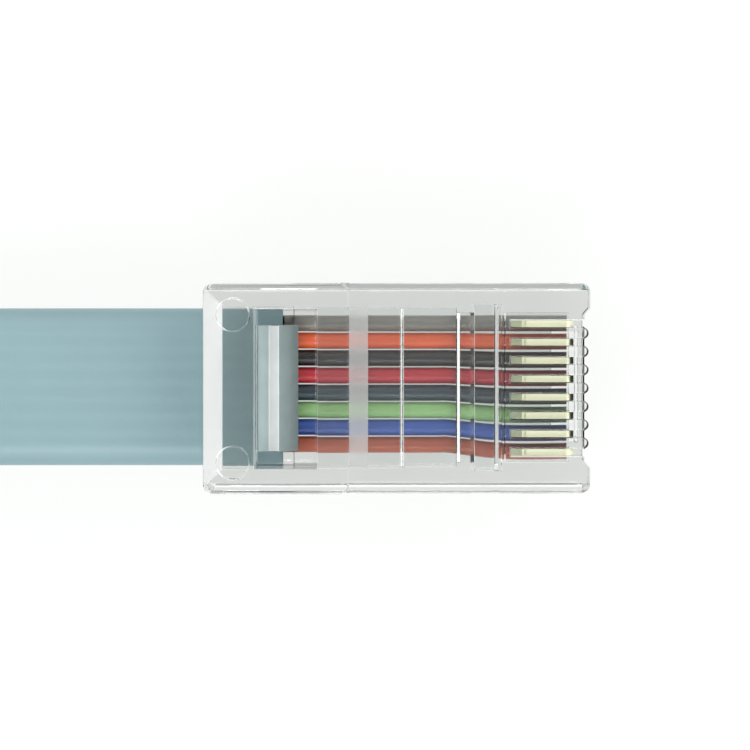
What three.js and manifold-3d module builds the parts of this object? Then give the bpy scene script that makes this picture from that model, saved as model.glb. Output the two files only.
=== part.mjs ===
// Console cable: a clear eight-contact modular plug on a flat cable, a coil of that cable,
// and a USB-C plug at its other end. Millimetres, +Z up.
// The origin is on the floor, under the middle of the modular plug. Its nose points along +X
// and its contacts face up, so that the free end of the latch touches the floor.
import * as THREE from "three";
import { ConvexGeometry } from "three/addons/geometries/ConvexGeometry.js";
import { mergeVertices } from "three/addons/utils/BufferGeometryUtils.js";
import Module from "manifold-3d";

// Clearances, and how far a cut reaches past the face that it opens
const fitGap = 0.02;
const cordGap = 0.3;
const overcut = 1;
const weldDistance = 1e-5;

// Modular plug housing, measured from its nose, its rear and its underside
const plug = {
  length: 21.5,
  width: 11.68,
  frontHeight: 6.6,
  rearHeight: 8.0,
  rearLength: 8.05,
  cornerRadius: 0.5,
  undersideChamfer: 0.45,
  stepLap: 2,
};

// Latch, moulded on the underside of the nose and sloping down to the rear
const latch = {
  drop: 3.6,
  thickness: 1.0,
  armDrop: 0.4,
  rootLap: 0.2,
  rootInset: 0.55,
  rootLength: 1.5,
  wideWidth: 6.2,
  wideEndFromNose: 8.35,
  narrowWidth: 3.2,
  endFromNose: 14.65,
};

// Comb of ribs between the contact slots, open at the nose
const comb = {
  recess: 0.33,
  ribSetback: 0.09,
  blockChamfer: 0.4,
  floorHeight: 3.4,
  sideRoom: 0.26,
  ribRootDepth: 1.4,
  ribRounding: 0.98,
};

// Contact blades
const contact = {
  count: 8,
  pitch: 1.02,
  thickness: 0.36,
  slotClearance: 0.03,
  setback: 0.92,
  length: 3.46,
  sunk: 0.5,
  shoulderHeight: 3.7,
  rearSlope: 0.6,
  noseRadius: 0.45,
  nickFromRear: 0.77,
  nickWidth: 0.1,
  nickDepth: 0.3,
  prongs: 3,
  pierce: 0.55,
};

// Insulated wires
const wire = {
  diameter: 0.9,
  height: 2.6,
  pitchAtJacket: 0.97,
  offsetAtJacket: 0.17,
  settleLength: 2,
  fanStart: 9.2,
  fanEnd: 12.2,
  endFromNose: 1.25,
  sides: 8,
  steps: 16,
};

// Cavity for the wires, stepped towards the nose. Each step ends so far from the nose, has so
// much room beside the wires and meets the step before it in a ramp
const wireCavity = {
  floor: 1.9,
  ramp: 0.2,
  steps: [
    { endFromNose: 10.55, sideRoom: 0.48, ceiling: 3.75 },
    { endFromNose: 7.4, sideRoom: 0.43, ceiling: 3.5 },
    { endFromNose: 6.63, sideRoom: 0.18, ceiling: 3.2 },
    { endFromNose: 5.3, sideRoom: 0.63, ceiling: 4.3 },
    { endFromNose: 4.9, sideRoom: 0.63, ceiling: 4.9 },
    { endFromNose: 1.15, sideRoom: 0.18, ceiling: 3.2 },
  ],
};

// Flat cable and the cavity that takes it
const cable = { width: 8.8, thickness: 2.5, heightInPlug: 2.8, gripLength: 4.4, edgeSides: 4 };
const jacketCavity = { sideClearance: 0.15, faceClearance: 0.25, length: 5.0 };
const mouth = { length: 1.05, flare: 0.95 };

// Window in the top of the rear part, with the tongue that presses on the jacket
const windowCut = { fromRear: 3.05, length: 3.07, width: 8.4, draft: 0.22 };
const tongue = {
  width: 7.02,
  rootLength: 0.5,
  rootHeight: 1.4,
  bendLength: 1.15,
  dipLength: 0.55,
  dipDepth: 0.45,
  slopeLength: 0.65,
  slopeDrop: 1.1,
  length: 2.21,
  height: 2.9,
  tipHeight: 0.9,
};

// Round marks of the mould's ejector pins on the rear part
const ejectorMark = { radius: 0.92, depth: 0.08, fromRear: 1.65, offset: 4.1, segments: 40 };

// Coil of the flat cable, standing on its edge
const coil = { turns: 5, spacing: 3.1, meanRadius: 50, startX: -76, segments: 96 };

// Strap that ties the coil
const strap = { width: 8, thickness: 0.6, clearance: 0.3, innerCorner: 0.4, outerCorner: 0.9 };

// Route of the uncoiled stretches: place, then the lean of the cable's width out of level
const leadRoute = [
  { at: [-11.05, 0, 6.4], lean: 0 },
  { at: [-18, 0, 6.4], lean: 0 },
  { at: [-24, 0, 6.35], lean: 4 },
  { at: [-32, 0, 6.0], lean: 22 },
  { at: [-41, 0, 5.3], lean: 50 },
  { at: [-50, 0, 4.7], lean: 76 },
  { at: [-58.7, 0, 4.4], lean: 90 },
];
const tailRoute = [
  { at: [-100.4, -27.1, 4.4], lean: 90 },
  { at: [-105.6, -34.6, 4.4], lean: 88 },
  { at: [-107.5, -46.3, 4.4], lean: 68 },
  { at: [-103.5, -57.2, 4.3], lean: 36 },
  { at: [-95.6, -64.6, 4.0], lean: 10 },
  { at: [-89.6, -65.8, 3.9], lean: 0 },
  { at: [-84.3, -65.8, 3.9], lean: 0 },
];
const cordStep = 4.6;

// USB-C plug, pointing along +X
const usb = {
  gripLength: 25,
  gripWidth: 14,
  gripHeight: 7.8,
  gripCorner: 2.4,
  gripEdge: 0.8,
  reliefLength: 9.5,
  reliefRearWidth: 10.4,
  reliefRearHeight: 4.2,
  reliefFrontWidth: 11.8,
  reliefFrontHeight: 6.0,
  reliefRibs: 4,
  reliefRibLength: 1.2,
  reliefRibRise: 0.45,
  reliefRibCorner: 1.2,
};
const shell = { width: 8.25, height: 2.4, wall: 0.25, exposed: 6.65, embedded: 2.5 };
const insert = { setback: 0.15, slotWidth: 6.6, slotHeight: 0.76, slotDepth: 5.2 };

// Places worked out from the dimensions
const underside = latch.drop;
const noseX = plug.length / 2;
const rearX = -noseX;
const stepX = rearX + plug.rearLength;
const frontTop = underside + plug.frontHeight;
const rearTop = underside + plug.rearHeight;
const ledgeX = noseX - comb.recess;
const combFloor = underside + comb.floorHeight;
const contactFrontX = noseX - contact.setback;
const contactRearX = contactFrontX - contact.length;
const contactTop = frontTop - contact.sunk;
const wireZ = underside + wire.height;
const wireTop = wireZ + wire.diameter / 2;
const prongZ = wireTop - contact.pierce;
const cableZ = underside + cable.heightInPlug;
const jacketFrontX = rearX + cable.gripLength;
const jacketTop = cableZ + cable.thickness / 2;
const windowRearX = rearX + windowCut.fromRear;
const outerRadius = coil.meanRadius + (coil.turns * coil.spacing) / 2;
const innerRadius = coil.meanRadius - (coil.turns * coil.spacing) / 2;
const ringOuter = outerRadius + cable.thickness / 2;
const ringInner = innerRadius - cable.thickness / 2;
const coilCentre = [coil.startX, -outerRadius];
const usbRearX = tailRoute[tailRoute.length - 1].at[0] + cordGap;
const usbY = tailRoute[tailRoute.length - 1].at[1];
const usbZ = usb.gripHeight / 2;
const gripRearX = usbRearX + usb.reliefLength;
const gripFrontX = gripRearX + usb.gripLength;
const shellTipX = gripFrontX + shell.exposed;
const contactRows = Array.from({ length: contact.count }, (_, i) => (contact.count - 1) / 2 - i);
const slotWidth = contact.thickness + 2 * contact.slotClearance;
const blockEdgeY = contactRows[0] * contact.pitch + slotWidth / 2 + comb.sideRoom;
const wireSpread = 2 * contactRows[0] * Math.max(contact.pitch, wire.pitchAtJacket) + wire.diameter;

const kernel = await Module();
kernel.setup();

// A closed mesh as a solid that can be joined and cut
function solid(geometry) {
  const bare = geometry.clone();
  bare.deleteAttribute("normal");
  bare.deleteAttribute("uv");
  const welded = mergeVertices(bare, weldDistance);
  const index = welded.index ?? new THREE.BufferAttribute(welded.attributes.position.array, 1);
  return new kernel.Manifold(new kernel.Mesh({
    numProp: 3,
    vertProperties: Float32Array.from(welded.attributes.position.array),
    triVerts: Uint32Array.from(index.array),
  }));
}

function geometryOf(body) {
  const mesh = body.getMesh();
  const geometry = new THREE.BufferGeometry();
  geometry.setAttribute("position", new THREE.BufferAttribute(mesh.vertProperties, 3));
  geometry.setIndex(new THREE.BufferAttribute(mesh.triVerts, 1));
  geometry.computeVertexNormals();
  return geometry;
}

function box(lowX, highX, lowY, highY, lowZ, highZ) {
  const geometry = new THREE.BoxGeometry(highX - lowX, highY - lowY, highZ - lowZ);
  return geometry.translate((lowX + highX) / 2, (lowY + highY) / 2, (lowZ + highZ) / 2);
}

function roundedRectangle(lowU, highU, lowV, highV, radius) {
  const shape = new THREE.Shape();
  shape.moveTo(lowU + radius, lowV);
  shape.lineTo(highU - radius, lowV);
  shape.absarc(highU - radius, lowV + radius, radius, -Math.PI / 2, 0, false);
  shape.lineTo(highU, highV - radius);
  shape.absarc(highU - radius, highV - radius, radius, 0, Math.PI / 2, false);
  shape.lineTo(lowU + radius, highV);
  shape.absarc(lowU + radius, highV - radius, radius, Math.PI / 2, Math.PI, false);
  shape.lineTo(lowU, lowV + radius);
  shape.absarc(lowU + radius, lowV + radius, radius, Math.PI, 1.5 * Math.PI, false);
  return shape;
}

// An outline in X and Y, raised along Z
function plate(shape, lowZ, highZ, curveSegments = 6) {
  const options = { depth: highZ - lowZ, bevelEnabled: false, curveSegments };
  return new THREE.ExtrudeGeometry(shape, options).translate(0, 0, lowZ);
}

// An outline in X and Z, drawn across the middle of Y
function sideProfile(points, width) {
  const shape = new THREE.Shape(points.map(([x, z]) => new THREE.Vector2(x, z)));
  const geometry = new THREE.ExtrudeGeometry(shape, { depth: width, bevelEnabled: false });
  return geometry.rotateX(Math.PI / 2).translate(0, width / 2, 0);
}

// An outline in Y and Z, drawn along X
function section(shape, lowX, highX, curveSegments = 5, bevel = 0) {
  const options = {
    depth: highX - lowX - 2 * bevel,
    bevelEnabled: bevel > 0,
    bevelSize: bevel,
    bevelThickness: bevel,
    bevelOffset: -bevel,
    bevelSegments: 2,
    curveSegments,
  };
  const geometry = new THREE.ExtrudeGeometry(shape, options).translate(0, 0, bevel);
  const turn = new THREE.Matrix4().makeBasis(
    new THREE.Vector3(0, 1, 0), new THREE.Vector3(0, 0, 1), new THREE.Vector3(1, 0, 0));
  return geometry.applyMatrix4(turn).translate(lowX, 0, 0);
}

// Four corners of a rectangle across X, or of a level one, to stretch a hull between
function uprightFace(x, width, height, centreZ) {
  return [-0.5, 0.5].flatMap((u) =>
    [-0.5, 0.5].map((v) => new THREE.Vector3(x, u * width, centreZ + v * height)));
}

function levelFace(lowX, highX, width, z) {
  return [lowX, highX].flatMap((x) => [-0.5, 0.5].map((u) => new THREE.Vector3(x, u * width, z)));
}

// Latch seen from the side: root under the nose, arm down to the rear
function latchArm(width, fromNoseX, toX) {
  const armStart = noseX - latch.rootInset - latch.rootLength;
  const armEnd = noseX - latch.endFromNose;
  const slope = (latch.drop - latch.thickness - latch.armDrop) / (armStart - armEnd);
  const upperZ = (x) => underside - latch.armDrop - slope * (armStart - x);
  const points = [
    [fromNoseX, upperZ(fromNoseX)],
    [toX, upperZ(toX)],
    [toX, upperZ(toX) - latch.thickness],
    [fromNoseX, upperZ(fromNoseX) - latch.thickness],
  ];
  return solid(sideProfile(points, width));
}

function latchBody() {
  const rootFront = noseX - latch.rootInset;
  const rootRear = rootFront - latch.rootLength;
  const root = solid(box(rootRear, rootFront, -latch.wideWidth / 2, latch.wideWidth / 2,
    underside - latch.thickness, underside + fitGap));
  const wide = latchArm(latch.wideWidth, rootFront - latch.rootLap, noseX - latch.wideEndFromNose);
  const narrow = latchArm(latch.narrowWidth, rootRear, noseX - latch.endFromNose);
  return root.add(wide).add(narrow);
}

function housingBlock() {
  const halfWidth = plug.width / 2;
  const rear = plate(
    roundedRectangle(rearX, stepX, -halfWidth, halfWidth, plug.cornerRadius), underside, rearTop);
  const front = plate(
    roundedRectangle(stepX - plug.stepLap, noseX, -halfWidth, halfWidth, plug.cornerRadius),
    underside, frontTop);
  const chamfer = plug.undersideChamfer;
  const across = new THREE.Shape([
    new THREE.Vector2(-halfWidth + chamfer, underside),
    new THREE.Vector2(halfWidth - chamfer, underside),
    new THREE.Vector2(halfWidth, underside + chamfer),
    new THREE.Vector2(halfWidth, rearTop + overcut),
    new THREE.Vector2(-halfWidth, rearTop + overcut),
    new THREE.Vector2(-halfWidth, underside + chamfer),
  ]);
  const outline = section(across, rearX - overcut, noseX + overcut);
  return solid(rear).add(solid(front)).intersect(solid(outline));
}

function combRib(row) {
  const y = row * contact.pitch;
  const half = (contact.pitch - slotWidth) / 2;
  const tipX = noseX - comb.ribSetback;
  const rib = roundedRectangle(
    tipX - comb.ribRootDepth, tipX, y - half, y + half, half * comb.ribRounding);
  return solid(plate(rib, combFloor, frontTop, 3));
}

function contactSlot(row) {
  const y = row * contact.pitch;
  const half = slotWidth / 2;
  const pocket = box(contactRearX - contact.slotClearance, contactFrontX + contact.slotClearance,
    y - half, y + half, wireZ, frontTop + overcut);
  const channel = box(contactFrontX, noseX + overcut, y - half, y + half,
    combFloor, frontTop + overcut);
  return solid(pocket).add(solid(channel));
}

function wireSpace() {
  const floorZ = underside + wireCavity.floor;
  let startX = jacketFrontX - fitGap;
  let ceilingBefore = underside + wireCavity.steps[0].ceiling;
  let space = null;
  for (const { endFromNose, sideRoom, ceiling } of wireCavity.steps) {
    const endX = noseX - endFromNose;
    const ceilingZ = underside + ceiling;
    const step = solid(sideProfile([
      [startX, floorZ],
      [endX + fitGap, floorZ],
      [endX + fitGap, ceilingZ],
      [startX + wireCavity.ramp, ceilingZ],
      [startX, ceilingBefore],
    ], wireSpread + 2 * sideRoom));
    space = space ? space.add(step) : step;
    startX = endX;
    ceilingBefore = ceilingZ;
  }
  return space;
}

function jacketSpace() {
  const width = cable.width + 2 * jacketCavity.sideClearance;
  const height = cable.thickness + 2 * jacketCavity.faceClearance;
  const cavity = box(rearX - overcut, rearX + jacketCavity.length, -width / 2, width / 2,
    cableZ - height / 2, cableZ + height / 2);
  const grow = 2 * mouth.flare * (1 + overcut / mouth.length);
  const funnel = new ConvexGeometry([
    ...uprightFace(rearX - overcut, width + grow, height + grow, cableZ),
    ...uprightFace(rearX + mouth.length, width, height, cableZ),
  ]);
  return solid(cavity).add(solid(funnel));
}

function windowSpace() {
  const lowX = windowRearX;
  const highX = windowRearX + windowCut.length;
  const depth = rearTop - cableZ;
  const grow = windowCut.draft * (1 + overcut / depth);
  return solid(new ConvexGeometry([
    ...levelFace(lowX, highX, windowCut.width, cableZ),
    ...levelFace(lowX - grow, highX + grow, windowCut.width + 2 * grow, rearTop + overcut),
  ]));
}

// Tongue seen from the side: it hangs from the window's rear edge, turned down on the jacket
function tongueBlock() {
  const low = jacketTop + fitGap;
  const rootX = windowRearX - tongue.rootLength;
  const bendX = windowRearX + tongue.bendLength;
  const tipX = windowRearX + tongue.length;
  const top = low + tongue.height;
  return solid(sideProfile([
    [rootX, low + tongue.rootHeight],
    [windowRearX, low + tongue.rootHeight],
    [bendX, low],
    [tipX, low],
    [tipX, low + tongue.tipHeight],
    [bendX + tongue.slopeLength, top - tongue.slopeDrop],
    [bendX, top],
    [bendX - tongue.dipLength, top - tongue.dipDepth],
    [windowRearX, top - tongue.dipDepth / 3],
    [rootX, top - tongue.dipDepth / 3],
  ], tongue.width));
}

function ejectorMarks() {
  const height = ejectorMark.depth + overcut;
  const markAt = (y) => solid(
    new THREE.CylinderGeometry(ejectorMark.radius, ejectorMark.radius, height, ejectorMark.segments)
      .rotateX(Math.PI / 2)
      .translate(rearX + ejectorMark.fromRear, y, rearTop - ejectorMark.depth + height / 2));
  return markAt(ejectorMark.offset).add(markAt(-ejectorMark.offset));
}

// The comb's recess in the nose, its sides splayed into the side blocks
function combRecess() {
  const shape = new THREE.Shape([
    new THREE.Vector2(ledgeX, -blockEdgeY),
    new THREE.Vector2(noseX, -blockEdgeY - comb.blockChamfer),
    new THREE.Vector2(noseX + overcut, -blockEdgeY - comb.blockChamfer),
    new THREE.Vector2(noseX + overcut, blockEdgeY + comb.blockChamfer),
    new THREE.Vector2(noseX, blockEdgeY + comb.blockChamfer),
    new THREE.Vector2(ledgeX, blockEdgeY),
  ]);
  return solid(plate(shape, underside - overcut, frontTop + overcut));
}

function housing() {
  let body = housingBlock().subtract(combRecess()).add(latchBody());
  for (const row of contactRows.slice(1)) {
    body = body.add(combRib(row + 0.5));
  }
  for (const row of contactRows) {
    body = body.subtract(contactSlot(row));
  }
  body = body.subtract(wireSpace()).subtract(jacketSpace()).subtract(windowSpace());
  return geometryOf(body.add(tongueBlock()).subtract(ejectorMarks()));
}

// A blade with a sloped rear, a nick in its top, a rounded front and pointed prongs below
function contactBlade(row) {
  const shoulderZ = underside + contact.shoulderHeight;
  const prongLength = contact.length / contact.prongs;
  const shape = new THREE.Shape();
  shape.moveTo(contactRearX, shoulderZ);
  for (let i = 0; i < contact.prongs; i += 1) {
    shape.lineTo(contactRearX + (i + 0.5) * prongLength, prongZ + fitGap);
    shape.lineTo(contactRearX + (i + 1) * prongLength, shoulderZ);
  }
  const radius = contact.noseRadius;
  shape.lineTo(contactFrontX, contactTop - radius);
  shape.absarc(contactFrontX - radius, contactTop - radius, radius, 0, Math.PI / 2, false);
  const nickX = contactRearX + contact.nickFromRear;
  shape.lineTo(nickX + contact.nickWidth / 2, contactTop);
  shape.lineTo(nickX + contact.nickWidth / 2, contactTop - contact.nickDepth);
  shape.lineTo(nickX - contact.nickWidth / 2, contactTop - contact.nickDepth);
  shape.lineTo(nickX - contact.nickWidth / 2, contactTop);
  shape.lineTo(contactRearX + contact.rearSlope, contactTop);
  shape.lineTo(contactRearX, contactTop - contact.rearSlope);
  const options = { depth: contact.thickness, bevelEnabled: false, curveSegments: 8 };
  const geometry = new THREE.ExtrudeGeometry(shape, options).rotateX(Math.PI / 2);
  return geometry.translate(0, row * contact.pitch + contact.thickness / 2, 0);
}

function circleShape(radius, sides) {
  const corners = Array.from({ length: sides }, (_, i) => {
    const angle = ((i + 0.5) / sides) * 2 * Math.PI;
    return new THREE.Vector2(radius * Math.cos(angle), radius * Math.sin(angle));
  });
  return new THREE.Shape(corners);
}

// One wire from the jacket to the nose, slit on top where the blade pierces it
function wireBody(row) {
  const startX = jacketFrontX + fitGap;
  const endX = noseX - wire.endFromNose;
  const startY = row * wire.pitchAtJacket + wire.offsetAtJacket;
  const endY = row * contact.pitch;
  const path = new THREE.CatmullRomCurve3([
    new THREE.Vector3(startX, startY, cableZ),
    new THREE.Vector3(startX + wire.settleLength, startY, wireZ),
    new THREE.Vector3(startX + wire.fanStart, startY, wireZ),
    new THREE.Vector3(startX + wire.fanEnd, endY, wireZ),
    new THREE.Vector3(endX, endY, wireZ),
  ]);
  const radius = wire.diameter / 2;
  const tube = new THREE.ExtrudeGeometry(circleShape(radius, wire.sides),
    { steps: wire.steps, extrudePath: path, bevelEnabled: false });
  const half = slotWidth / 2;
  const slit = box(contactRearX - contact.slotClearance, noseX, endY - half, endY + half,
    prongZ, wireTop + overcut);
  return geometryOf(solid(tube).subtract(solid(slit)));
}

// Rounded section of the flat cable: x across its thickness, y across its width
function cableSection() {
  const radius = cable.thickness / 2;
  const edge = cable.width / 2 - radius;
  const corners = [];
  for (const [centre, from] of [[edge, 0], [-edge, Math.PI]]) {
    for (let i = 0; i <= cable.edgeSides; i += 1) {
      const angle = from + (i * Math.PI) / cable.edgeSides;
      corners.push(new THREE.Vector2(radius * Math.cos(angle), centre + radius * Math.sin(angle)));
    }
  }
  return new THREE.Shape(corners);
}

// A smooth path whose section leans by a given angle at each of its points
class LeaningPath extends THREE.CatmullRomCurve3 {
  constructor(route) {
    super(route.map(({ at }) => new THREE.Vector3(...at)), false, "centripetal");
    this.leans = route.map(({ lean }) => THREE.MathUtils.degToRad(lean));
  }

  leanAt(share) {
    const place = this.getUtoTmapping(share) * (this.leans.length - 1);
    const before = Math.min(Math.floor(place), this.leans.length - 2);
    return THREE.MathUtils.lerp(this.leans[before], this.leans[before + 1], place - before);
  }

  computeFrenetFrames(steps) {
    const frames = { tangents: [], normals: [], binormals: [] };
    for (let i = 0; i <= steps; i += 1) {
      const tangent = this.getTangentAt(i / steps);
      const level = new THREE.Vector3(-tangent.y, tangent.x, 0).normalize();
      const across = level.applyAxisAngle(tangent, this.leanAt(i / steps));
      frames.tangents.push(tangent);
      frames.binormals.push(across);
      frames.normals.push(new THREE.Vector3().crossVectors(across, tangent).normalize());
    }
    return frames;
  }
}

function cordTube(route) {
  const path = new LeaningPath(route);
  const steps = Math.ceil(path.getLength() / cordStep);
  return new THREE.ExtrudeGeometry(cableSection(), { steps, extrudePath: path, bevelEnabled: false });
}

function jacketEnd() {
  const across = roundedRectangle(-cable.width / 2, cable.width / 2,
    -cable.thickness / 2, cable.thickness / 2, cable.thickness / 2 - fitGap);
  return section(across, rearX, jacketFrontX).translate(0, 0, cableZ);
}

// The coil's outer shape, with a notch below where the strap passes
function coilRing() {
  const profile = [
    [ringInner, 0],
    [ringOuter, 0],
    [ringOuter, cable.width],
    [ringInner, cable.width],
    [ringInner, 0],
  ].map(([radius, z]) => new THREE.Vector2(radius, z));
  const ring = new THREE.LatheGeometry(profile, coil.segments).rotateX(Math.PI / 2);
  const half = strap.width / 2 + strap.clearance;
  const notch = box(ringInner - overcut, ringOuter + overcut, -half, half,
    -overcut, strap.thickness + strap.clearance);
  return geometryOf(solid(ring).subtract(solid(notch)));
}

function coilStrap() {
  const gap = strap.clearance;
  const wrap = strap.thickness;
  const top = cable.width + gap + wrap;
  const hole = roundedRectangle(ringInner - gap, ringOuter + gap, wrap, top, strap.innerCorner);
  const loop = roundedRectangle(
    ringInner - gap - wrap, ringOuter + gap + wrap, 0, top + wrap, strap.outerCorner);
  loop.holes.push(hole);
  const options = { depth: strap.width, bevelEnabled: false, curveSegments: 3 };
  const geometry = new THREE.ExtrudeGeometry(loop, options);
  return geometry.rotateX(Math.PI / 2).translate(0, strap.width / 2, 0);
}

function centredRectangle(width, height, radius) {
  return roundedRectangle(-width / 2, width / 2, -height / 2, height / 2, radius);
}

// Grip with its strain relief, moulded as one, and a pocket for the shell
function usbHousing() {
  const grip = section(centredRectangle(usb.gripWidth, usb.gripHeight, usb.gripCorner),
    gripRearX, gripFrontX, 4, usb.gripEdge);
  const relief = new ConvexGeometry([
    ...uprightFace(usbRearX, usb.reliefRearWidth, usb.reliefRearHeight, 0),
    ...uprightFace(gripRearX + overcut, usb.reliefFrontWidth, usb.reliefFrontHeight, 0),
  ]);
  let body = solid(grip).add(solid(relief));
  const pitch = usb.reliefLength / usb.reliefRibs;
  for (let i = 0; i < usb.reliefRibs; i += 1) {
    const lowX = usbRearX + (i + 0.5) * pitch - usb.reliefRibLength / 2;
    const share = (i + 0.5) / usb.reliefRibs;
    const grow = 2 * usb.reliefRibRise;
    const width = THREE.MathUtils.lerp(usb.reliefRearWidth, usb.reliefFrontWidth, share) + grow;
    const height = THREE.MathUtils.lerp(usb.reliefRearHeight, usb.reliefFrontHeight, share) + grow;
    const outline = centredRectangle(width, height, usb.reliefRibCorner);
    body = body.add(solid(section(outline, lowX, lowX + usb.reliefRibLength, 3)));
  }
  const pocketGap = 2 * fitGap;
  const pocket = section(
    centredRectangle(shell.width + pocketGap, shell.height + pocketGap, shell.height / 2),
    gripFrontX - shell.embedded - fitGap, gripFrontX + overcut, 5);
  return geometryOf(body.subtract(solid(pocket)));
}

function usbShell() {
  const outline = centredRectangle(shell.width, shell.height, shell.height / 2 - fitGap);
  const inner = centredRectangle(shell.width - 2 * shell.wall, shell.height - 2 * shell.wall,
    shell.height / 2 - shell.wall - fitGap);
  outline.holes.push(inner);
  return section(outline, gripFrontX - shell.embedded, shellTipX, 6);
}

function usbInsert() {
  const width = shell.width - 2 * (shell.wall + fitGap);
  const height = shell.height - 2 * (shell.wall + fitGap);
  const frontX = shellTipX - insert.setback;
  const block = section(centredRectangle(width, height, height / 2 - fitGap),
    gripFrontX - shell.embedded, frontX, 6);
  const slot = box(frontX - insert.slotDepth, frontX + overcut,
    -insert.slotWidth / 2, insert.slotWidth / 2, -insert.slotHeight / 2, insert.slotHeight / 2);
  return geometryOf(solid(block).subtract(solid(slot)));
}

const part = new THREE.Group();

function place(name, geometry, look, group = part) {
  const mesh = new THREE.Mesh(geometry, new THREE.MeshStandardMaterial({ name, ...look }));
  mesh.name = name;
  group.add(mesh);
  return mesh;
}

const jacketLook = { color: 0x9fb9c2, roughness: 0.5, metalness: 0 };
const wireColours = {
  gray: 0x7f8488,
  orange: 0xe0622c,
  black: 0x1d1f22,
  red: 0xb3202f,
  green: 0x2f6a4c,
  yellow: 0xe6dc3c,
  blue: 0x2f55a8,
  brown: 0x9a5430,
};

place("plug_housing", housing(), { color: 0xe4e9ea, roughness: 0.06, metalness: 0 });
Object.entries(wireColours).forEach(([name, color], i) => {
  place(`wire_${name}`, wireBody(contactRows[i]), { color, roughness: 0.4, metalness: 0 });
});
contactRows.forEach((row, i) => {
  const look = { color: 0xd8be6a, roughness: 0.2, metalness: 1 };
  place(`contact_${i + 1}`, contactBlade(row), look);
});
place("jacket_end", jacketEnd(), jacketLook);
place("cable_lead", cordTube(leadRoute), jacketLook);
place("cable_tail", cordTube(tailRoute), jacketLook);

const coilGroup = new THREE.Group();
coilGroup.position.set(coilCentre[0], coilCentre[1], 0);
part.add(coilGroup);
place("cable_coil", coilRing(), jacketLook, coilGroup);
place("coil_strap", coilStrap(), { color: 0x24272a, roughness: 0.9, metalness: 0 }, coilGroup);

const usbGroup = new THREE.Group();
usbGroup.position.set(0, usbY, usbZ);
part.add(usbGroup);
place("usb_c_housing", usbHousing(), { color: 0x8fa9b3, roughness: 0.5, metalness: 0 }, usbGroup);
place("usb_c_shell", usbShell(), { color: 0xc9ccce, roughness: 0.25, metalness: 1 }, usbGroup);
place("usb_c_insert", usbInsert(), { color: 0x1c1d1f, roughness: 0.5, metalness: 0 }, usbGroup);

export default part;
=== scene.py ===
import math

import bmesh
import bpy
from mathutils import Matrix, Vector


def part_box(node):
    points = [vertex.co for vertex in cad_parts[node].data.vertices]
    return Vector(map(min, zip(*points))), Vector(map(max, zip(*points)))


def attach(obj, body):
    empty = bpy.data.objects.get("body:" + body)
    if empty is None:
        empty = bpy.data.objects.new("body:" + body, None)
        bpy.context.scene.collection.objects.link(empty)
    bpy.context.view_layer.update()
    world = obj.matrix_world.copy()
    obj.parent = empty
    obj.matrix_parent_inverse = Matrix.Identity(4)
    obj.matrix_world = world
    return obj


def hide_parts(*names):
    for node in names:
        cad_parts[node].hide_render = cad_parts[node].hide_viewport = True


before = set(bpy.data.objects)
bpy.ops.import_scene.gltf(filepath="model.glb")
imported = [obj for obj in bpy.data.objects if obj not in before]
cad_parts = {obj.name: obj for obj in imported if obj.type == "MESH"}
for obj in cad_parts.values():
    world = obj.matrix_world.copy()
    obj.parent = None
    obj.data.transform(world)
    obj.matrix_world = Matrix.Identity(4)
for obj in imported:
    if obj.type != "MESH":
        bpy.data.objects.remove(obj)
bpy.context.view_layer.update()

MM = 0.001

# The photograph: 750 pixels square, 18 pixels a millimetre at the plug's contact side.
# The sensor's width is in millimetres.
PHOTO_PIXELS = 750
PIXELS_PER_MM = 18.0
VIEW_CENTRE = Vector((-1.21, 0.74, 10.2)) * MM
VIEW_WIDTH = PHOTO_PIXELS / PIXELS_PER_MM * MM
CAMERA_DISTANCE = 400 * MM
CAMERA_TILT = math.radians(1.2)
CAMERA_CLIP_START = 0.01
SENSOR_WIDTH = 36.0

# Studio: the tent's brightness by how high one looks, 0 level and 1 overhead, then each
# lamp's watts, size and place, and the floor
TENT_STRENGTH = 1.5
TENT_LEVELS = [(0.0, 0.5), (0.35, 1.0), (0.85, 1.0), (0.97, 0.36)]
LAMPS = {
    "key": (1.2, 0.3, (-0.1, -0.35, 0.5)),
    "fill": (0.5, 0.4, (0.35, 0.3, 0.4)),
}
FLOOR_HALF_WIDTH = 3.0
FLOOR_SHADES = ((0.11, 0.112, 0.11), (0.13, 0.132, 0.13))
FLOOR_GLOW = 0.85
FLOOR_GLOW_COLOUR = (0.985, 1.0, 0.985, 1.0)

# Flat cable, as in the part's source. A point of a route is x, y and z in millimetres and the
# cable's turn about its own line in degrees: 0 where it lies flat, 90 where it stands on edge.
CABLE_WIDTH = 8.8 * MM
CABLE_THICKNESS = 2.5 * MM
ROUTE_STEPS = 8
ON_EDGE = 90
LEAD_ROUTE = [
    (-6.37, 0, 6.4, 0),
    (-11.05, 0, 6.4, 0),
    (-18, 0, 6.4, 0),
    (-24, 0, 6.35, 4),
    (-32, 0, 6.0, 22),
    (-41, 0, 5.3, 50),
    (-50, 0, 4.7, 76),
    (-58.7, 0, 4.4, 90),
    (-67, 0, 4.4, 90),
]
TAIL_ROUTE = [
    (-100.4, -27.1, 4.4, 90),
    (-105.6, -34.6, 4.4, 88),
    (-107.5, -46.3, 4.4, 68),
    (-103.5, -57.2, 4.3, 36),
    (-95.6, -64.6, 4.0, 10),
    (-89.6, -65.8, 3.9, 0),
    (-84.3, -65.8, 3.9, 0),
]

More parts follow.
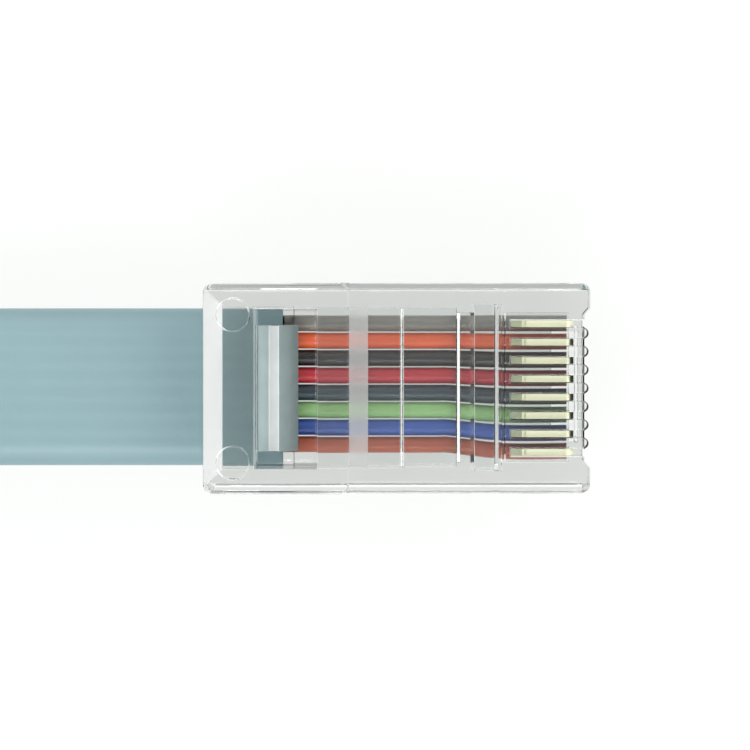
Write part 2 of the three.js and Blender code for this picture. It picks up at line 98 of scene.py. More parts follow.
# The coil, its lengths in millimetres, with the hump where its turns pass over the strap and
# how far along and aside of its inner end the cable peels off it
COIL_TURNS = 5
COIL_SPACING = 3.1
COIL_MEAN_RADIUS = 50.0
COIL_OUTER_RADIUS = COIL_MEAN_RADIUS + COIL_TURNS * COIL_SPACING / 2
COIL_INNER_RADIUS = COIL_MEAN_RADIUS - COIL_TURNS * COIL_SPACING / 2
COIL_START_X = -76.0
COIL_HEIGHT = 4.4
COIL_STEPS_PER_TURN = 90
HUMP_HEIGHT = 0.7
HUMP_REACH = 9.0
PEEL_ALONG = 12
PEEL_ASIDE = 2.45

# The cable's section: steps round each edge and along each face, and the wires' faint ridges
EDGE_STEPS = 10
FACE_STEPS = 32
RIDGE_DEPTH = 0.03 * MM
RIDGE_PITCH = 0.94 * MM

# Wires between the jacket and the nose, with one station more than in the part's source.
# Pitches, offset and stations, which are x and z, are in millimetres.
WIRE_DIAMETER = 0.9 * MM
WIRE_SIDES = 24
WIRE_STEPS = 10
WIRE_PITCH_AT_JACKET = 0.97
WIRE_OFFSET_AT_JACKET = 0.17
CONTACT_PITCH = 1.02
WIRE_STATIONS = [(-6.33, 6.4), (-4.33, 6.2), (1.9, 6.2), (2.87, 6.2), (5.87, 6.2), (9.5, 6.2)]
STATIONS_BEFORE_FAN = 4

# Colours, the wires' in their order across the plug
WIRE_COLOURS = {
    "gray": (0.26, 0.25, 0.225),
    "orange": (0.88, 0.135, 0.04),
    "black": (0.012, 0.012, 0.013),
    "red": (0.58, 0.022, 0.038),
    "green": (0.025, 0.05, 0.07),
    "yellow": (0.33, 0.62, 0.235),
    "blue": (0.032, 0.105, 0.46),
    "brown": (0.50, 0.11, 0.055),
}
CONTACT_COLOUR = (0.94, 0.96, 0.70)
JACKET_COLOUR = (0.190, 0.295, 0.320)
GRIP_COLOUR = (0.18, 0.28, 0.305)
SHELL_COLOUR = (0.62, 0.62, 0.61)
INSERT_COLOUR = (0.014, 0.014, 0.016)
STRAP_SHADES = ((0.012, 0.012, 0.014), (0.04, 0.041, 0.045))

# The housing's plastic, the deep shade of each finish before the pale one. The underside's and the
# tongue's tints are painted shade and light, the mouth's a painted highlight.
PLASTIC_IOR = 1.56
CLEAR_SHADES = ((0.91, 0.925, 0.915), (0.95, 0.965, 0.955))
# The underside's darker tint is painted shade: it greys what is seen through the body
UNDERSIDE_PAINTED_SHADE = ((0.51, 0.52, 0.51), (0.56, 0.57, 0.56))
# The mouth's near-white tint is a painted highlight
MOUTH_PAINTED_HIGHLIGHT = ((0.96, 0.97, 0.96), (0.99, 0.995, 0.99))
# The tongue's matt slopes are shaded by the way they face: pale painted light on the dip, painted
# shade on the ramp and a deeper blue-green painted shade on the front
DIP_FROST_PAINTED_LIGHT = ((0.74, 0.78, 0.78), (0.84, 0.87, 0.87))
RAMP_FROST_PAINTED_SHADE = ((0.58, 0.63, 0.63), (0.70, 0.74, 0.74))
FRONT_FROST_PAINTED_SHADE = ((0.38, 0.49, 0.485), (0.46, 0.58, 0.575))
BAND_SHADES = ((0.88, 0.89, 0.88), (0.95, 0.955, 0.95))
OVER_JACKET_SHADES = ((0.8, 0.82, 0.82), (0.9, 0.92, 0.92))
# The mouth's glow is painted light: the plastic there is no lamp
MOUTH_PAINTED_GLOW = 0.25

# How deep a bump goes, from a drawn or polished surface to woven threads
POLISHED = 0.01 * MM
FINE_GRAIN = 0.02 * MM
SATIN_GRAIN = 0.03 * MM
MATT_GRAIN = 0.05 * MM
THREADS = 0.1 * MM

# Faces of the housing with a finish of their own: mouth, tongue, underside, band over the wires
MOUTH_LENGTH = 1.1 * MM
TONGUE_X = -6.75 * MM
TONGUE_REACH = 1.1 * MM
UNDERSIDE_Z = 3.6 * MM
UNDERSIDE_SLACK = 0.05 * MM
BAND_START = -2.65 * MM
BAND_END = -1.6 * MM
BAND_LOWEST = 6.9 * MM

# How far a normal leans on a slanting face, least and most, and on one that looks down
LEAST_SLANT = 0.3
MOST_SLANT = 0.95
LOOKS_DOWN = -0.9

# Strap: how far each upright side is drawn in to the turns, and its loose end laid on top
STRAP_SLACK_OUTSIDE = 2.5 * MM
STRAP_SLACK_INSIDE = 0.8 * MM
FLAP_THICKNESS = 0.45 * MM
FLAP_GAP = 0.02 * MM
FLAP_INSET = 0.2 * MM
FLAP_TIP_SETBACK = 4 * MM
FLAP_ROOT_SETBACK = 1 * MM
FLAP_TIP_STEPS = 12

# USB-C plug's contact springs, in two rows inside the slot of its insert
SPRINGS_PER_ROW = 12
SPRING_PITCH = 0.5 * MM
SPRING_SIZE = Vector((3.6, 0.24, 0.1)) * MM
SPRING_SETBACK = 0.7 * MM
INSERT_SLOT_HEIGHT = 0.76 * MM

# Points nearer than the first are one, and facets flatter than the second are one face.
# Edges past the third are bevelled, and on the cable and wires those past the last stay sharp.
WELD_DISTANCE = 2e-6
FLAT_ANGLE = math.radians(1.0)
BEVEL_ANGLE = math.radians(28)
SHARP_ANGLE = math.radians(50)


def add_object(name, data):
    added = bpy.data.objects.new(name, data)
    bpy.context.scene.collection.objects.link(added)
    return added


def camera_over_plug():
    lens = bpy.data.cameras.new("camera")
    lens.sensor_width = SENSOR_WIDTH
    lens.lens = SENSOR_WIDTH * CAMERA_DISTANCE / VIEW_WIDTH
    lens.clip_start = CAMERA_CLIP_START
    camera = add_object("camera", lens)
    away = Vector((0, math.sin(CAMERA_TILT), math.cos(CAMERA_TILT)))
    camera.location = VIEW_CENTRE + away * CAMERA_DISTANCE
    camera.rotation_euler = (-CAMERA_TILT, 0, 0)
    bpy.context.scene.camera = camera


# Materials

def set_stops(ramp, stops):
    """Gives a colour ramp its places and colours."""
    halfway = 0.5
    elements = ramp.color_ramp.elements
    while len(elements) < len(stops):
        elements.new(halfway)
    for element, (position, colour) in zip(elements, stops):
        element.position = position
        element.color = (*colour, 1.0)


def between(deep, pale, low=0.3, high=0.7):
    """Ramp stops that spread two shades over the middle of a pattern's range."""
    return [(low, deep), (high, pale)]


def shades(colour, spread):
    """Ramp stops for a colour that drifts by the given share to either side."""
    deep = tuple(c * (1 - spread) for c in colour)
    pale = tuple(min(1.0, c * (1 + spread)) for c in colour)
    return between(deep, pale)


class Finish:
    """A procedural surface on Object coordinates: a shader with room for colour, gloss and bump."""

    def __init__(self, name, roughness, metallic=0.0, specular=0.5):
        self.material = bpy.data.materials.new(name)
        self.material.use_nodes = True
        self.nodes = self.material.node_tree.nodes
        self.links = self.material.node_tree.links
        self.shader = self.nodes["Principled BSDF"]
        self.set("Roughness", roughness)
        self.set("Metallic", metallic)
        self.set("Specular IOR Level", specular)
        self.place = self.nodes.new("ShaderNodeTexCoord").outputs["Object"]

    def set(self, socket, value):
        self.shader.inputs[socket].default_value = value

    def stretched(self, x=1.0, y=1.0, z=1.0):
        """The place with its pattern drawn out along each axis whose number is below one."""
        mapping = self.nodes.new("ShaderNodeMapping")
        mapping.inputs["Scale"].default_value = (x, y, z)
        self.links.new(self.place, mapping.inputs["Vector"])
        return mapping.outputs["Vector"]

    def noise(self, scale, detail=3.0, place=None):
        texture = self.nodes.new("ShaderNodeTexNoise")
        texture.inputs["Scale"].default_value = scale
        texture.inputs["Detail"].default_value = detail
        self.links.new(place or self.place, texture.inputs["Vector"])
        return texture.outputs["Fac"]

    def colours(self, pattern, stops):
        ramp = self.nodes.new("ShaderNodeValToRGB")
        set_stops(ramp, stops)
        self.links.new(pattern, ramp.inputs["Fac"])
        self.links.new(ramp.outputs["Color"], self.shader.inputs["Base Color"])

    def gloss(self, pattern, low, high):
        spread = self.nodes.new("ShaderNodeMapRange")
        spread.inputs["To Min"].default_value = low
        spread.inputs["To Max"].default_value = high
        self.links.new(pattern, spread.inputs["Value"])
        self.links.new(spread.outputs["Result"], self.shader.inputs["Roughness"])

    def bump(self, pattern, depth, strength):
        bump = self.nodes.new("ShaderNodeBump")
        bump.inputs["Distance"].default_value = depth
        bump.inputs["Strength"].default_value = strength
        self.links.new(pattern, bump.inputs["Height"])
        self.links.new(bump.outputs["Normal"], self.shader.inputs["Normal"])


def clear_polycarbonate(name, tints):
    """Clear plastic, its tint drifting between two shades along the flow of the mould."""
    finish = Finish(name, roughness=0.03)
    finish.set("Transmission Weight", 1.0)
    finish.set("IOR", PLASTIC_IOR)
    flow = finish.noise(scale=160, detail=2.0, place=finish.stretched(y=0.35))
    finish.colours(flow, between(*tints))
    finish.gloss(finish.noise(scale=900), low=0.01, high=0.05)
    finish.bump(flow, POLISHED, strength=0.1)
    return finish.material


def frosted_polycarbonate(name, tints, clearness, glow=0.0):
    """The same plastic made matt, letting some of what lies behind through; on the mouth and tongue
    its tints are painted light and shade, and any light it gives off is painted light.
    """
    finish = Finish(name, roughness=0.5)
    finish.set("Transmission Weight", clearness)
    finish.set("IOR", PLASTIC_IOR)
    # Emission here is painted light, standing in for light carried through the plastic
    finish.set("Emission Color", (1, 1, 1, 1))
    finish.set("Emission Strength", glow)
    finish.colours(finish.noise(scale=700), between(*tints))
    finish.gloss(finish.noise(scale=1500), low=0.4, high=0.6)
    finish.bump(finish.noise(scale=2500), FINE_GRAIN, strength=0.5)
    return finish.material


def insulation(name):
    finish = Finish(f"wire_{name}", roughness=0.35)
    along = finish.stretched(x=0.25)
    finish.colours(finish.noise(scale=700, place=along), shades(WIRE_COLOURS[name], spread=0.12))
    finish.gloss(finish.noise(scale=1500, detail=2.0), low=0.28, high=0.42)
    finish.bump(finish.noise(scale=2500, detail=2.0, place=along), FINE_GRAIN, strength=0.4)
    return finish.material


def contact_gold():
    finish = Finish("contact_gold", roughness=0.2, metallic=1.0)
    stamped = finish.stretched(x=0.15)
    pattern = finish.noise(scale=1200, detail=4.0, place=stamped)
    finish.colours(pattern, shades(CONTACT_COLOUR, spread=0.04))
    finish.gloss(finish.noise(scale=2600, detail=2.0, place=stamped), low=0.36, high=0.48)
    finish.bump(finish.noise(scale=4000, detail=2.0, place=stamped), POLISHED, strength=0.5)
    return finish.material


def cable_jacket():
    finish = Finish("cable_jacket", roughness=0.45)
    finish.colours(finish.noise(scale=90, detail=4.0), shades(JACKET_COLOUR, spread=0.05))
    finish.gloss(finish.noise(scale=1400, detail=2.0), low=0.36, high=0.5)
    finish.bump(finish.noise(scale=2200), SATIN_GRAIN, strength=0.5)
    finish.set("Subsurface Weight", 0.1)
    finish.set("Subsurface Radius", (0.001, 0.001, 0.001))
    finish.set("Subsurface Scale", 1.0)
    return finish.material


def moulded_grip():
    finish = Finish("moulded_grip", roughness=0.5)
    finish.colours(finish.noise(scale=120, detail=4.0), shades(GRIP_COLOUR, spread=0.05))
    finish.gloss(finish.noise(scale=1800, detail=2.0), low=0.42, high=0.6)
    finish.bump(finish.noise(scale=3500), MATT_GRAIN, strength=0.7)
    return finish.material


def nickel_shell():
    finish = Finish("nickel_shell", roughness=0.25, metallic=1.0)
    drawn = finish.stretched(x=0.1)
    pattern = finish.noise(scale=1500, detail=4.0, place=drawn)
    finish.colours(pattern, shades(SHELL_COLOUR, spread=0.08))
    finish.gloss(finish.noise(scale=2500, place=drawn), low=0.18, high=0.36)
    finish.bump(finish.noise(scale=5000, detail=2.0, place=drawn), POLISHED, strength=0.6)
    return finish.material


def insert_nylon():
    finish = Finish("insert_nylon", roughness=0.5)
    finish.colours(finish.noise(scale=600), shades(INSERT_COLOUR, spread=0.2))
    finish.bump(finish.noise(scale=3000, detail=2.0), FINE_GRAIN, strength=0.5)
    return finish.material


def strap_weave():
    finish = Finish("strap_weave", roughness=0.9)
    weave = finish.nodes.new("ShaderNodeTexWave")
    weave.wave_type = "BANDS"
    weave.bands_direction = "DIAGONAL"
    weave.inputs["Scale"].default_value = 900
    weave.inputs["Distortion"].default_value = 1.5
    finish.links.new(finish.place, weave.inputs["Vector"])
    threads = weave.outputs["Fac"]
    finish.colours(threads, between(*STRAP_SHADES, low=0.2, high=0.8))
    finish.bump(threads, THREADS, strength=0.8)
    finish.set("Sheen Weight", 0.3)
    return finish.material


# Meshes

def dressed_copy(node, name, softened, segments=2, smooth=True, clamped=True):
    """The CAD node's own shape with its facets joined into faces and its edges softened."""
    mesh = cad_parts[node].data.copy()
    mesh.materials.clear()
    shape = bmesh.new()
    shape.from_mesh(mesh)
    bmesh.ops.remove_doubles(shape, verts=shape.verts, dist=WELD_DISTANCE)
    bmesh.ops.dissolve_limit(
        shape, angle_limit=FLAT_ANGLE, verts=shape.verts, edges=shape.edges)
    shape.to_mesh(mesh)
    shape.free()
    piece = add_object(name, mesh)
    soften(piece, softened, segments, smooth, clamped)
    return piece


def soften(piece, width, segments=2, smooth=True, clamped=True):
    bevel = piece.modifiers.new("softened_edges", "BEVEL")
    bevel.width = width
    bevel.segments = segments
    bevel.limit_method = "ANGLE"
    bevel.angle_limit = BEVEL_ANGLE
    bevel.use_clamp_overlap = clamped
    bevel.harden_normals = smooth
    if smooth:
        piece.data.shade_smooth()
    else:
        piece.data.shade_flat()


def smooth_with_sharp_ends(mesh):
    mesh.shade_smooth()
    mesh.set_sharp_from_angle(angle=SHARP_ANGLE)


def walls_between(shape, ring, following):
    """Four-sided faces from each edge of one ring to the same edge of the next."""
    for j in range(len(ring)):
        k = (j + 1) % len(ring)
        shape.faces.new((ring[j], ring[k], following[k], following[j]))


def closed_piece(name, shape):
    """Turns a closed shape's faces outwards and makes an object of it."""
    bmesh.ops.recalc_face_normals(shape, faces=shape.faces)
    mesh = bpy.data.meshes.new(name)
    shape.to_mesh(mesh)
    shape.free()
    return add_object(name, mesh)


def finished(piece, material, slot, *nodes):
    """Gives a piece its finish, hides the CAD nodes that it stands for and hangs it on the root
    body.
    """
    piece.data.materials.clear()
    piece.data.materials.append(material)
    if nodes:
        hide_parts(*nodes)
    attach(piece, "root")
    return piece


def tree_with(name, inputs):
    """A Geometry Nodes tree with a geometry socket at each end and the named inputs."""
    tree = bpy.data.node_groups.new(name, "GeometryNodeTree")
    tree.interface.new_socket("Geometry", in_out="INPUT", socket_type="NodeSocketGeometry")
    tree.interface.new_socket("Geometry", in_out="OUTPUT", socket_type="NodeSocketGeometry")
    for label, kind in inputs:
        tree.interface.new_socket(label, in_out="INPUT", socket_type=kind)
    return tree, tree.nodes.new("NodeGroupInput"), tree.nodes.new("NodeGroupOutput")


def end_tree(tree, given, result, geometry):
    """Ends a tree with plain geometry, not copies, in the finish that it is given."""
    link = tree.links.new
    realize = tree.nodes.new("GeometryNodeRealizeInstances")
    link(geometry, realize.inputs["Geometry"])
    dress = tree.nodes.new("GeometryNodeSetMaterial")
    link(realize.outputs["Geometry"], dress.inputs["Geometry"])
    link(given.outputs["Finish"], dress.inputs["Material"])
    link(dress.outputs["Geometry"], result.inputs["Geometry"])


def grown(name, source, tree, values):
    """The mesh that a tree makes from the source, as a plain object at the origin."""
    modifier = source.modifiers.new(tree.name, "NODES")
    modifier.node_group = tree
    for item in tree.interface.items_tree:
        if item.item_type == "SOCKET" and item.in_out == "INPUT" and item.name in values:
            modifier[item.identifier] = values[item.name]
    seen = source.evaluated_get(bpy.context.evaluated_depsgraph_get())
    mesh = bpy.data.meshes.new_from_object(seen)
    mesh.name = name
    source.modifiers.remove(modifier)
    bpy.data.objects.remove(source)
    return add_object(name, mesh)


def wire_tree():
    """A round wire along a path, its ends closed."""
    tree, given, result = tree_with("round_wire", [
        ("Radius", "NodeSocketFloat"),
        ("Sides", "NodeSocketInt"),
        ("Finish", "NodeSocketMaterial"),
    ])
    link = tree.links.new
    circle = tree.nodes.new("GeometryNodeCurvePrimitiveCircle")
    link(given.outputs["Sides"], circle.inputs["Resolution"])
    link(given.outputs["Radius"], circle.inputs["Radius"])
    sweep = tree.nodes.new("GeometryNodeCurveToMesh")
    sweep.inputs["Fill Caps"].default_value = True
    link(given.outputs["Geometry"], sweep.inputs["Curve"])
    link(circle.outputs["Curve"], sweep.inputs["Profile Curve"])
    end_tree(tree, given, result, sweep.outputs["Mesh"])
    return tree


def wire_path(name, row):
    """Straight at the jacket's pitch, then fanned out to the contacts just before them."""
    at_jacket = row * WIRE_PITCH_AT_JACKET + WIRE_OFFSET_AT_JACKET
    at_contact = row * CONTACT_PITCH
    points = [
        (x, at_jacket if station < STATIONS_BEFORE_FAN else at_contact, z)
        for station, (x, z) in enumerate(WIRE_STATIONS)
    ]
    route = smooth_route(points, WIRE_STEPS)
    curve = bpy.data.curves.new(name, "CURVE")
    curve.dimensions = "3D"
    line = curve.splines.new("POLY")
    line.points.add(len(route) - 1)
    for point, place in zip(line.points, route):
        point.co = (*(Vector(place) * MM), 1.0)
    return add_object(name, curve)


def insulated_wire(name, row, tree, finish):
    piece = grown(f"insulated_wire_{name}", wire_path(f"path_{name}", row), tree, {
        "Radius": WIRE_DIAMETER / 2,
        "Sides": WIRE_SIDES,
        "Finish": finish,
    })
    smooth_with_sharp_ends(piece.data)
    return piece


def spring_tree():
    """Flat springs side by side in a row, repeated in a second row below."""
    tree, given, result = tree_with("contact_springs", [
        ("Size", "NodeSocketVector"),
        ("Count", "NodeSocketInt"),
        ("Pitch", "NodeSocketFloat"),
        ("Start", "NodeSocketVector"),
        ("Row drop", "NodeSocketFloat"),
        ("Finish", "NodeSocketMaterial"),
    ])
    link = tree.links.new
    bar = tree.nodes.new("GeometryNodeMeshCube")
    link(given.outputs["Size"], bar.inputs["Size"])
    across = tree.nodes.new("ShaderNodeCombineXYZ")
    link(given.outputs["Pitch"], across.inputs["Y"])
    line = tree.nodes.new("GeometryNodeMeshLine")
    link(given.outputs["Count"], line.inputs["Count"])
    link(given.outputs["Start"], line.inputs["Start Location"])
    link(across.outputs["Vector"], line.inputs["Offset"])
    below = tree.nodes.new("ShaderNodeCombineXYZ")
    link(given.outputs["Row drop"], below.inputs["Z"])
    lower = tree.nodes.new("GeometryNodeTransform")
    link(line.outputs["Mesh"], lower.inputs["Geometry"])
    link(below.outputs["Vector"], lower.inputs["Translation"])
    rows = tree.nodes.new("GeometryNodeJoinGeometry")
    link(line.outputs["Mesh"], rows.inputs["Geometry"])
    link(lower.outputs["Geometry"], rows.inputs["Geometry"])
    copies = tree.nodes.new("GeometryNodeInstanceOnPoints")
    link(rows.outputs["Geometry"], copies.inputs["Points"])
    link(bar.outputs["Mesh"], copies.inputs["Instance"])
    end_tree(tree, given, result, copies.outputs["Instances"])
    return tree


def contact_springs(finish):
    low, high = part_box("usb_c_insert")
    drop = INSERT_SLOT_HEIGHT - SPRING_SIZE.z
    start = Vector((
        high[0] - SPRING_SETBACK - SPRING_SIZE.x / 2,
        (low[1] + high[1]) / 2 - SPRING_PITCH * (SPRINGS_PER_ROW - 1) / 2,
        (low[2] + high[2]) / 2 + drop / 2,
    ))
    source = add_object("spring_seed", bpy.data.meshes.new("spring_seed"))
    return grown("usb_contact_springs", source, spring_tree(), {
        "Size": tuple(SPRING_SIZE),
        "Count": SPRINGS_PER_ROW,
        "Pitch": SPRING_PITCH,
        "Start": tuple(start),
        "Row drop": -drop,
        "Finish": finish,
    })


def split_finishes(piece, finishes):
    """Gives stretches of the housing finishes of their own: a painted highlight and glow at the
    mouth, painted light and shade on the tongue, painted shade on the underside, and paler matt
    faces over the wires and the jacket.
    """
    numbers = {}
    for place, finish in finishes.items():
        piece.data.materials.append(finish)
        numbers[place] = len(piece.data.materials) - 1
    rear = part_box("plug_housing")[0][0]
    for face in piece.data.polygons:
        place = place_on_plug(face.center, face.normal, rear)
        if place:
            face.material_index = numbers[place]


def slants(lean):
    return LEAST_SLANT < lean < MOST_SLANT


def place_on_plug(centre, normal, rear):
    """Names the stretch of the housing that a face belongs to, or nothing for a plain face."""
    if centre.x < rear + MOUTH_LENGTH:
        return "mouth" if slants(max(abs(normal.x), abs(normal.y))) else None
    if abs(centre.x - TONGUE_X) < TONGUE_REACH and slants(abs(normal.x)):
        if normal.z < 0:
            return "tongue_ramp"
        return "tongue_front" if normal.x > 0 else "tongue_dip"
    if normal.z > LOOKS_DOWN:
        return None
    if abs(centre.z - UNDERSIDE_Z) < UNDERSIDE_SLACK:
        return "underside"
    if BAND_START < centre.x < BAND_END and centre.z > BAND_LOWEST:
        return "band"
    if centre.x < TONGUE_X - TONGUE_REACH and centre.z > BAND_LOWEST:
        return "over_jacket"
    return None


def cut_across(piece, *places):
    """Splits the piece's faces at the given places along X, its shape unchanged."""
    shape = bmesh.new()
    shape.from_mesh(piece.data)
    for x in places:
        everything = [*shape.verts, *shape.edges, *shape.faces]
        bmesh.ops.bisect_plane(shape, geom=everything, plane_co=(x, 0, 0), plane_no=(1, 0, 0))
    shape.to_mesh(piece.data)
    shape.free()


def tighten_strap(piece):
    """Draws the loop's two upright sides in to the turns that they hold."""
    low, high = (Vector(corner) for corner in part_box("coil_strap"))
    middle = (low.x + high.x) / 2
    for vertex in piece.data.vertices:
        vertex.co.x += STRAP_SLACK_INSIDE if vertex.co.x < middle else -STRAP_SLACK_OUTSIDE


def strap_flap():
    """The strap's loose end, laid back over the top of its loop, with a rounded tip."""
    low, high = (Vector(corner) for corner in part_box("coil_strap"))
    middle = (low.y + high.y) / 2
    half = (high.y - low.y) / 2 - FLAP_INSET
    tip = low.x + FLAP_TIP_SETBACK
    root = high.x - STRAP_SLACK_OUTSIDE - FLAP_ROOT_SETBACK
    outline = [(root, middle - half), (root, middle + half)]
    for i in range(FLAP_TIP_STEPS + 1):
        angle = math.pi / 2 + math.pi * i / FLAP_TIP_STEPS
        outline.append((tip + half + half * math.cos(angle), middle + half * math.sin(angle)))
    base = high.z + FLAP_GAP
    shape = bmesh.new()
    lower, upper = (
        [shape.verts.new((x, y, z)) for x, y in outline] for z in (base, base + FLAP_THICKNESS)
    )
    shape.faces.new(lower)
    shape.faces.new(upper)
    walls_between(shape, lower, upper)
    piece = closed_piece("coil_strap_flap", shape)
    soften(piece, width=0.12 * MM)
    return piece


def blend_points(before, start, end, after, share):
    """A point on the smooth curve between start and end."""
    return [
        0.5 * ((2 * b) + (c - a) * share + (2 * a - 5 * b + 4 * c - d) * share ** 2
               + (3 * b - a - 3 * c + d) * share ** 3)
        for a, b, c, d in zip(before, start, end, after)
    ]


def smooth_route(points, steps):
    """The points joined by one smooth curve, with so many steps from each to the next."""
    padded = [points[0], *points, points[-1]]
    route = []
    for i in range(len(points) - 1):
        for step in range(steps):
            route.append(blend_points(*padded[i:i + 4], step / steps))
    return [*route, list(points[-1])]


def coil_points():
    """Turns of the coil from outside inwards, lifted where they pass over the strap."""
    points = []
    for i in range(COIL_TURNS * COIL_STEPS_PER_TURN + 1):
        turns = i / COIL_STEPS_PER_TURN
        angle = math.pi / 2 + turns * 2 * math.pi
        radius = COIL_OUTER_RADIUS - turns * COIL_SPACING
        off_strap = math.atan2(math.sin(angle), math.cos(angle)) * radius
        hump = HUMP_HEIGHT * math.exp(-(off_strap / HUMP_REACH) ** 2)
        x = COIL_START_X + radius * math.cos(angle)
        y = -COIL_OUTER_RADIUS + radius * math.sin(angle)
        points.append((x, y, COIL_HEIGHT + hump, ON_EDGE))
    return points


def cable_route():
    """The whole cable from inside the plug, round the coil and out to the USB-C grip."""
    coil = coil_points()
    peel = (
        COIL_START_X - PEEL_ALONG,
        COIL_INNER_RADIUS - COIL_OUTER_RADIUS - PEEL_ASIDE,
        COIL_HEIGHT,
        ON_EDGE,
    )
    lead = smooth_route(LEAD_ROUTE, ROUTE_STEPS)
    tail = smooth_route([coil[-1], peel, *TAIL_ROUTE], ROUTE_STEPS)
    return [*lead, *coil[:-1], *tail]


def cable_section():
    """Outline of the flat cable: thin across, wide along, its faces faintly ridged by the wires."""
    radius = CABLE_THICKNESS / 2
    edge = CABLE_WIDTH / 2 - radius
    outline = []
    for centre, first, side in ((edge, 0, -1), (-edge, math.pi, 1)):
        for i in range(EDGE_STEPS + 1):
            angle = first + i * math.pi / EDGE_STEPS
            outline.append((radius * math.cos(angle), centre + radius * math.sin(angle)))
        for i in range(1, FACE_STEPS):
            along = edge - 2 * edge * i / FACE_STEPS
            ridge = RIDGE_DEPTH * (math.cos(2 * math.pi * along / RIDGE_PITCH + math.pi) - 1) / 2
            outline.append((side * (radius + ridge), -side * along))
    return outline


def flat_cable():
    """The cable swept along its route, and the line that it follows."""
    route = cable_route()
    places = [Vector(point[:3]) * MM for point in route]
    outline = cable_section()
    shape = bmesh.new()
    rings = []
    for i, (*_, turn) in enumerate(route):
        before = places[max(i - 1, 0)]
        after = places[min(i + 1, len(places) - 1)]
        tangent = (after - before).normalized()
        level = Vector((-tangent.y, tangent.x, 0)).normalized()
        across = Matrix.Rotation(math.radians(turn), 3, tangent) @ level
        normal = across.cross(tangent)
        rings.append([shape.verts.new(places[i] + normal * u + across * v) for u, v in outline])
    for ring, following in zip(rings, rings[1:]):
        walls_between(shape, ring, following)
    shape.faces.new(list(reversed(rings[0])))
    shape.faces.new(rings[-1])
    piece = closed_piece("flat_cable", shape)
    smooth_with_sharp_ends(piece.data)
    return piece, places


# Studio

def soft_lamp(name, watts, size, place):
    """A square lamp that looks at the plug."""
    light = bpy.data.lights.new(name, "AREA")
    light.energy = watts
    light.size = size
    lamp = add_object(name, light)
    lamp.location = place
    lamp.rotation_euler = (-Vector(place)).to_track_quat("-Z", "Y").to_euler()


def soft_world():
    """A light tent: brightest part way up, dimmer overhead where the camera looks in."""
    world = bpy.data.worlds.new("soft_studio")
    world.use_nodes = True
    nodes = world.node_tree.nodes
    links = world.node_tree.links
    direction = nodes.new("ShaderNodeTexCoord").outputs["Generated"]
    split = nodes.new("ShaderNodeSeparateXYZ")
    links.new(direction, split.inputs["Vector"])
    ramp = nodes.new("ShaderNodeValToRGB")
    set_stops(ramp, [(height, (level, level, level)) for height, level in TENT_LEVELS])
    links.new(split.outputs["Z"], ramp.inputs["Fac"])
    links.new(ramp.outputs["Color"], nodes["Background"].inputs["Color"])
    nodes["Background"].inputs["Strength"].default_value = TENT_STRENGTH
    bpy.context.scene.world = world


def pale_floor():
    half = FLOOR_HALF_WIDTH
    mesh = bpy.data.meshes.new("floor")
    corners = [(-half, -half, 0), (half, -half, 0), (half, half, 0), (-half, half, 0)]
    mesh.from_pydata(corners, [], [(0, 1, 2, 3)])
    floor = add_object("floor", mesh)
    finish = Finish("pale_floor", roughness=0.9, specular=0.1)
    finish.colours(finish.noise(scale=3), between(*FLOOR_SHADES))
    finish.set("Emission Color", FLOOR_GLOW_COLOUR)
    finish.set("Emission Strength", FLOOR_GLOW)
    mesh.materials.append(finish.material)


def studio():
    soft_world()
    bpy.context.scene.view_settings.view_transform = "Standard"
    for name, (watts, size, place) in LAMPS.items():
        soft_lamp(name, watts, size, place)
    pale_floor()


# The camera and the cable with what is on it come first
camera_over_plug()
cable, cable_line = flat_cable()
cable_nodes = ("jacket_end", "cable_lead", "cable_coil", "cable_tail")
finished(cable, cable_jacket(), "cable_jacket", *cable_nodes)

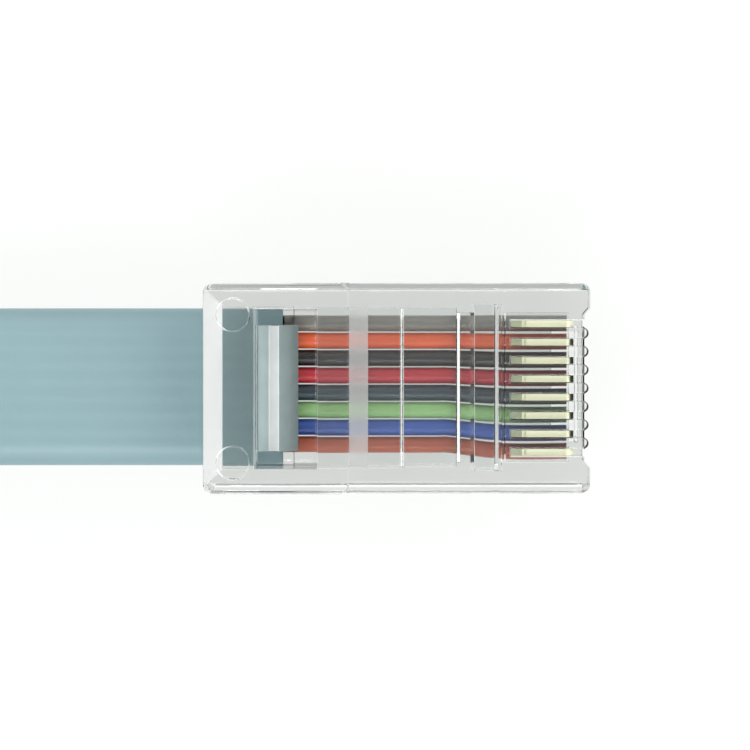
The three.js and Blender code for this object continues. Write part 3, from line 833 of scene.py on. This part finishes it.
grip = dressed_copy("usb_c_housing", "usb_grip", softened=0.25 * MM)
finished(grip, moulded_grip(), "overmould", "usb_c_housing")
shell = dressed_copy("usb_c_shell", "usb_shell", softened=0.06 * MM)
finished(shell, nickel_shell(), "shell_steel", "usb_c_shell")
insert = dressed_copy("usb_c_insert", "usb_insert", softened=0.06 * MM)
finished(insert, insert_nylon(), "insert_plastic", "usb_c_insert")
gold = contact_gold()
springs = finished(contact_springs(gold), gold, "gold_contact")
strap = dressed_copy("coil_strap", "coil_strap_weave", softened=0.15 * MM)
tighten_strap(strap)
weave = strap_weave()
finished(strap, weave, "strap_fabric", "coil_strap")
flap = finished(strap_flap(), weave, "strap_fabric")

# The clear housing, its plain faces first and then the stretches with their own finish, painted
# light and shade among them
housing = dressed_copy(
    "plug_housing", "clear_plug", softened=0.05 * MM, segments=3, smooth=False, clamped=False)
clear = clear_polycarbonate("clear_polycarbonate", CLEAR_SHADES)
# A darker copy of the clear plastic for the underside, as painted shade
underside = clear_polycarbonate("underside_painted_shade", UNDERSIDE_PAINTED_SHADE)
finished(housing, clear, "clear_polycarbonate", "plug_housing")
cut_across(housing, BAND_START, BAND_END)
split_finishes(housing, {
    # The mouth: a painted highlight in white, with a painted glow
    "mouth": frosted_polycarbonate("mouth_painted_highlight", MOUTH_PAINTED_HIGHLIGHT, clearness=0.0, glow=MOUTH_PAINTED_GLOW),
    # The tongue: painted light and shade over matt frost, set by which way each face leans
    "tongue_dip": frosted_polycarbonate("dip_frost_painted_light", DIP_FROST_PAINTED_LIGHT, clearness=0.3),
    "tongue_ramp": frosted_polycarbonate("ramp_frost_painted_shade", RAMP_FROST_PAINTED_SHADE, clearness=0.3),
    "tongue_front": frosted_polycarbonate("front_frost_painted_shade", FRONT_FROST_PAINTED_SHADE, clearness=0.5),
    # The underside: painted shade
    "underside": underside,
    "band": frosted_polycarbonate("band_frost", BAND_SHADES, clearness=0.5),
    "over_jacket": frosted_polycarbonate("jacket_frost", OVER_JACKET_SHADES, clearness=0.8),
})

# The wires, from one side of the plug to the other, and a contact for each
round_wire = wire_tree()
middle_row = (len(WIRE_COLOURS) - 1) / 2
for count, wire in enumerate(WIRE_COLOURS):
    finish = insulation(wire)
    piece = insulated_wire(wire, middle_row - count, round_wire, finish)
    finished(piece, finish, f"wire_{wire}", f"wire_{wire}")
    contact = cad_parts[f"contact_{count + 1}"]
    contact.data.materials.clear()
    contact.data.materials.append(gold)
    soften(contact, width=0.04 * MM)

studio()
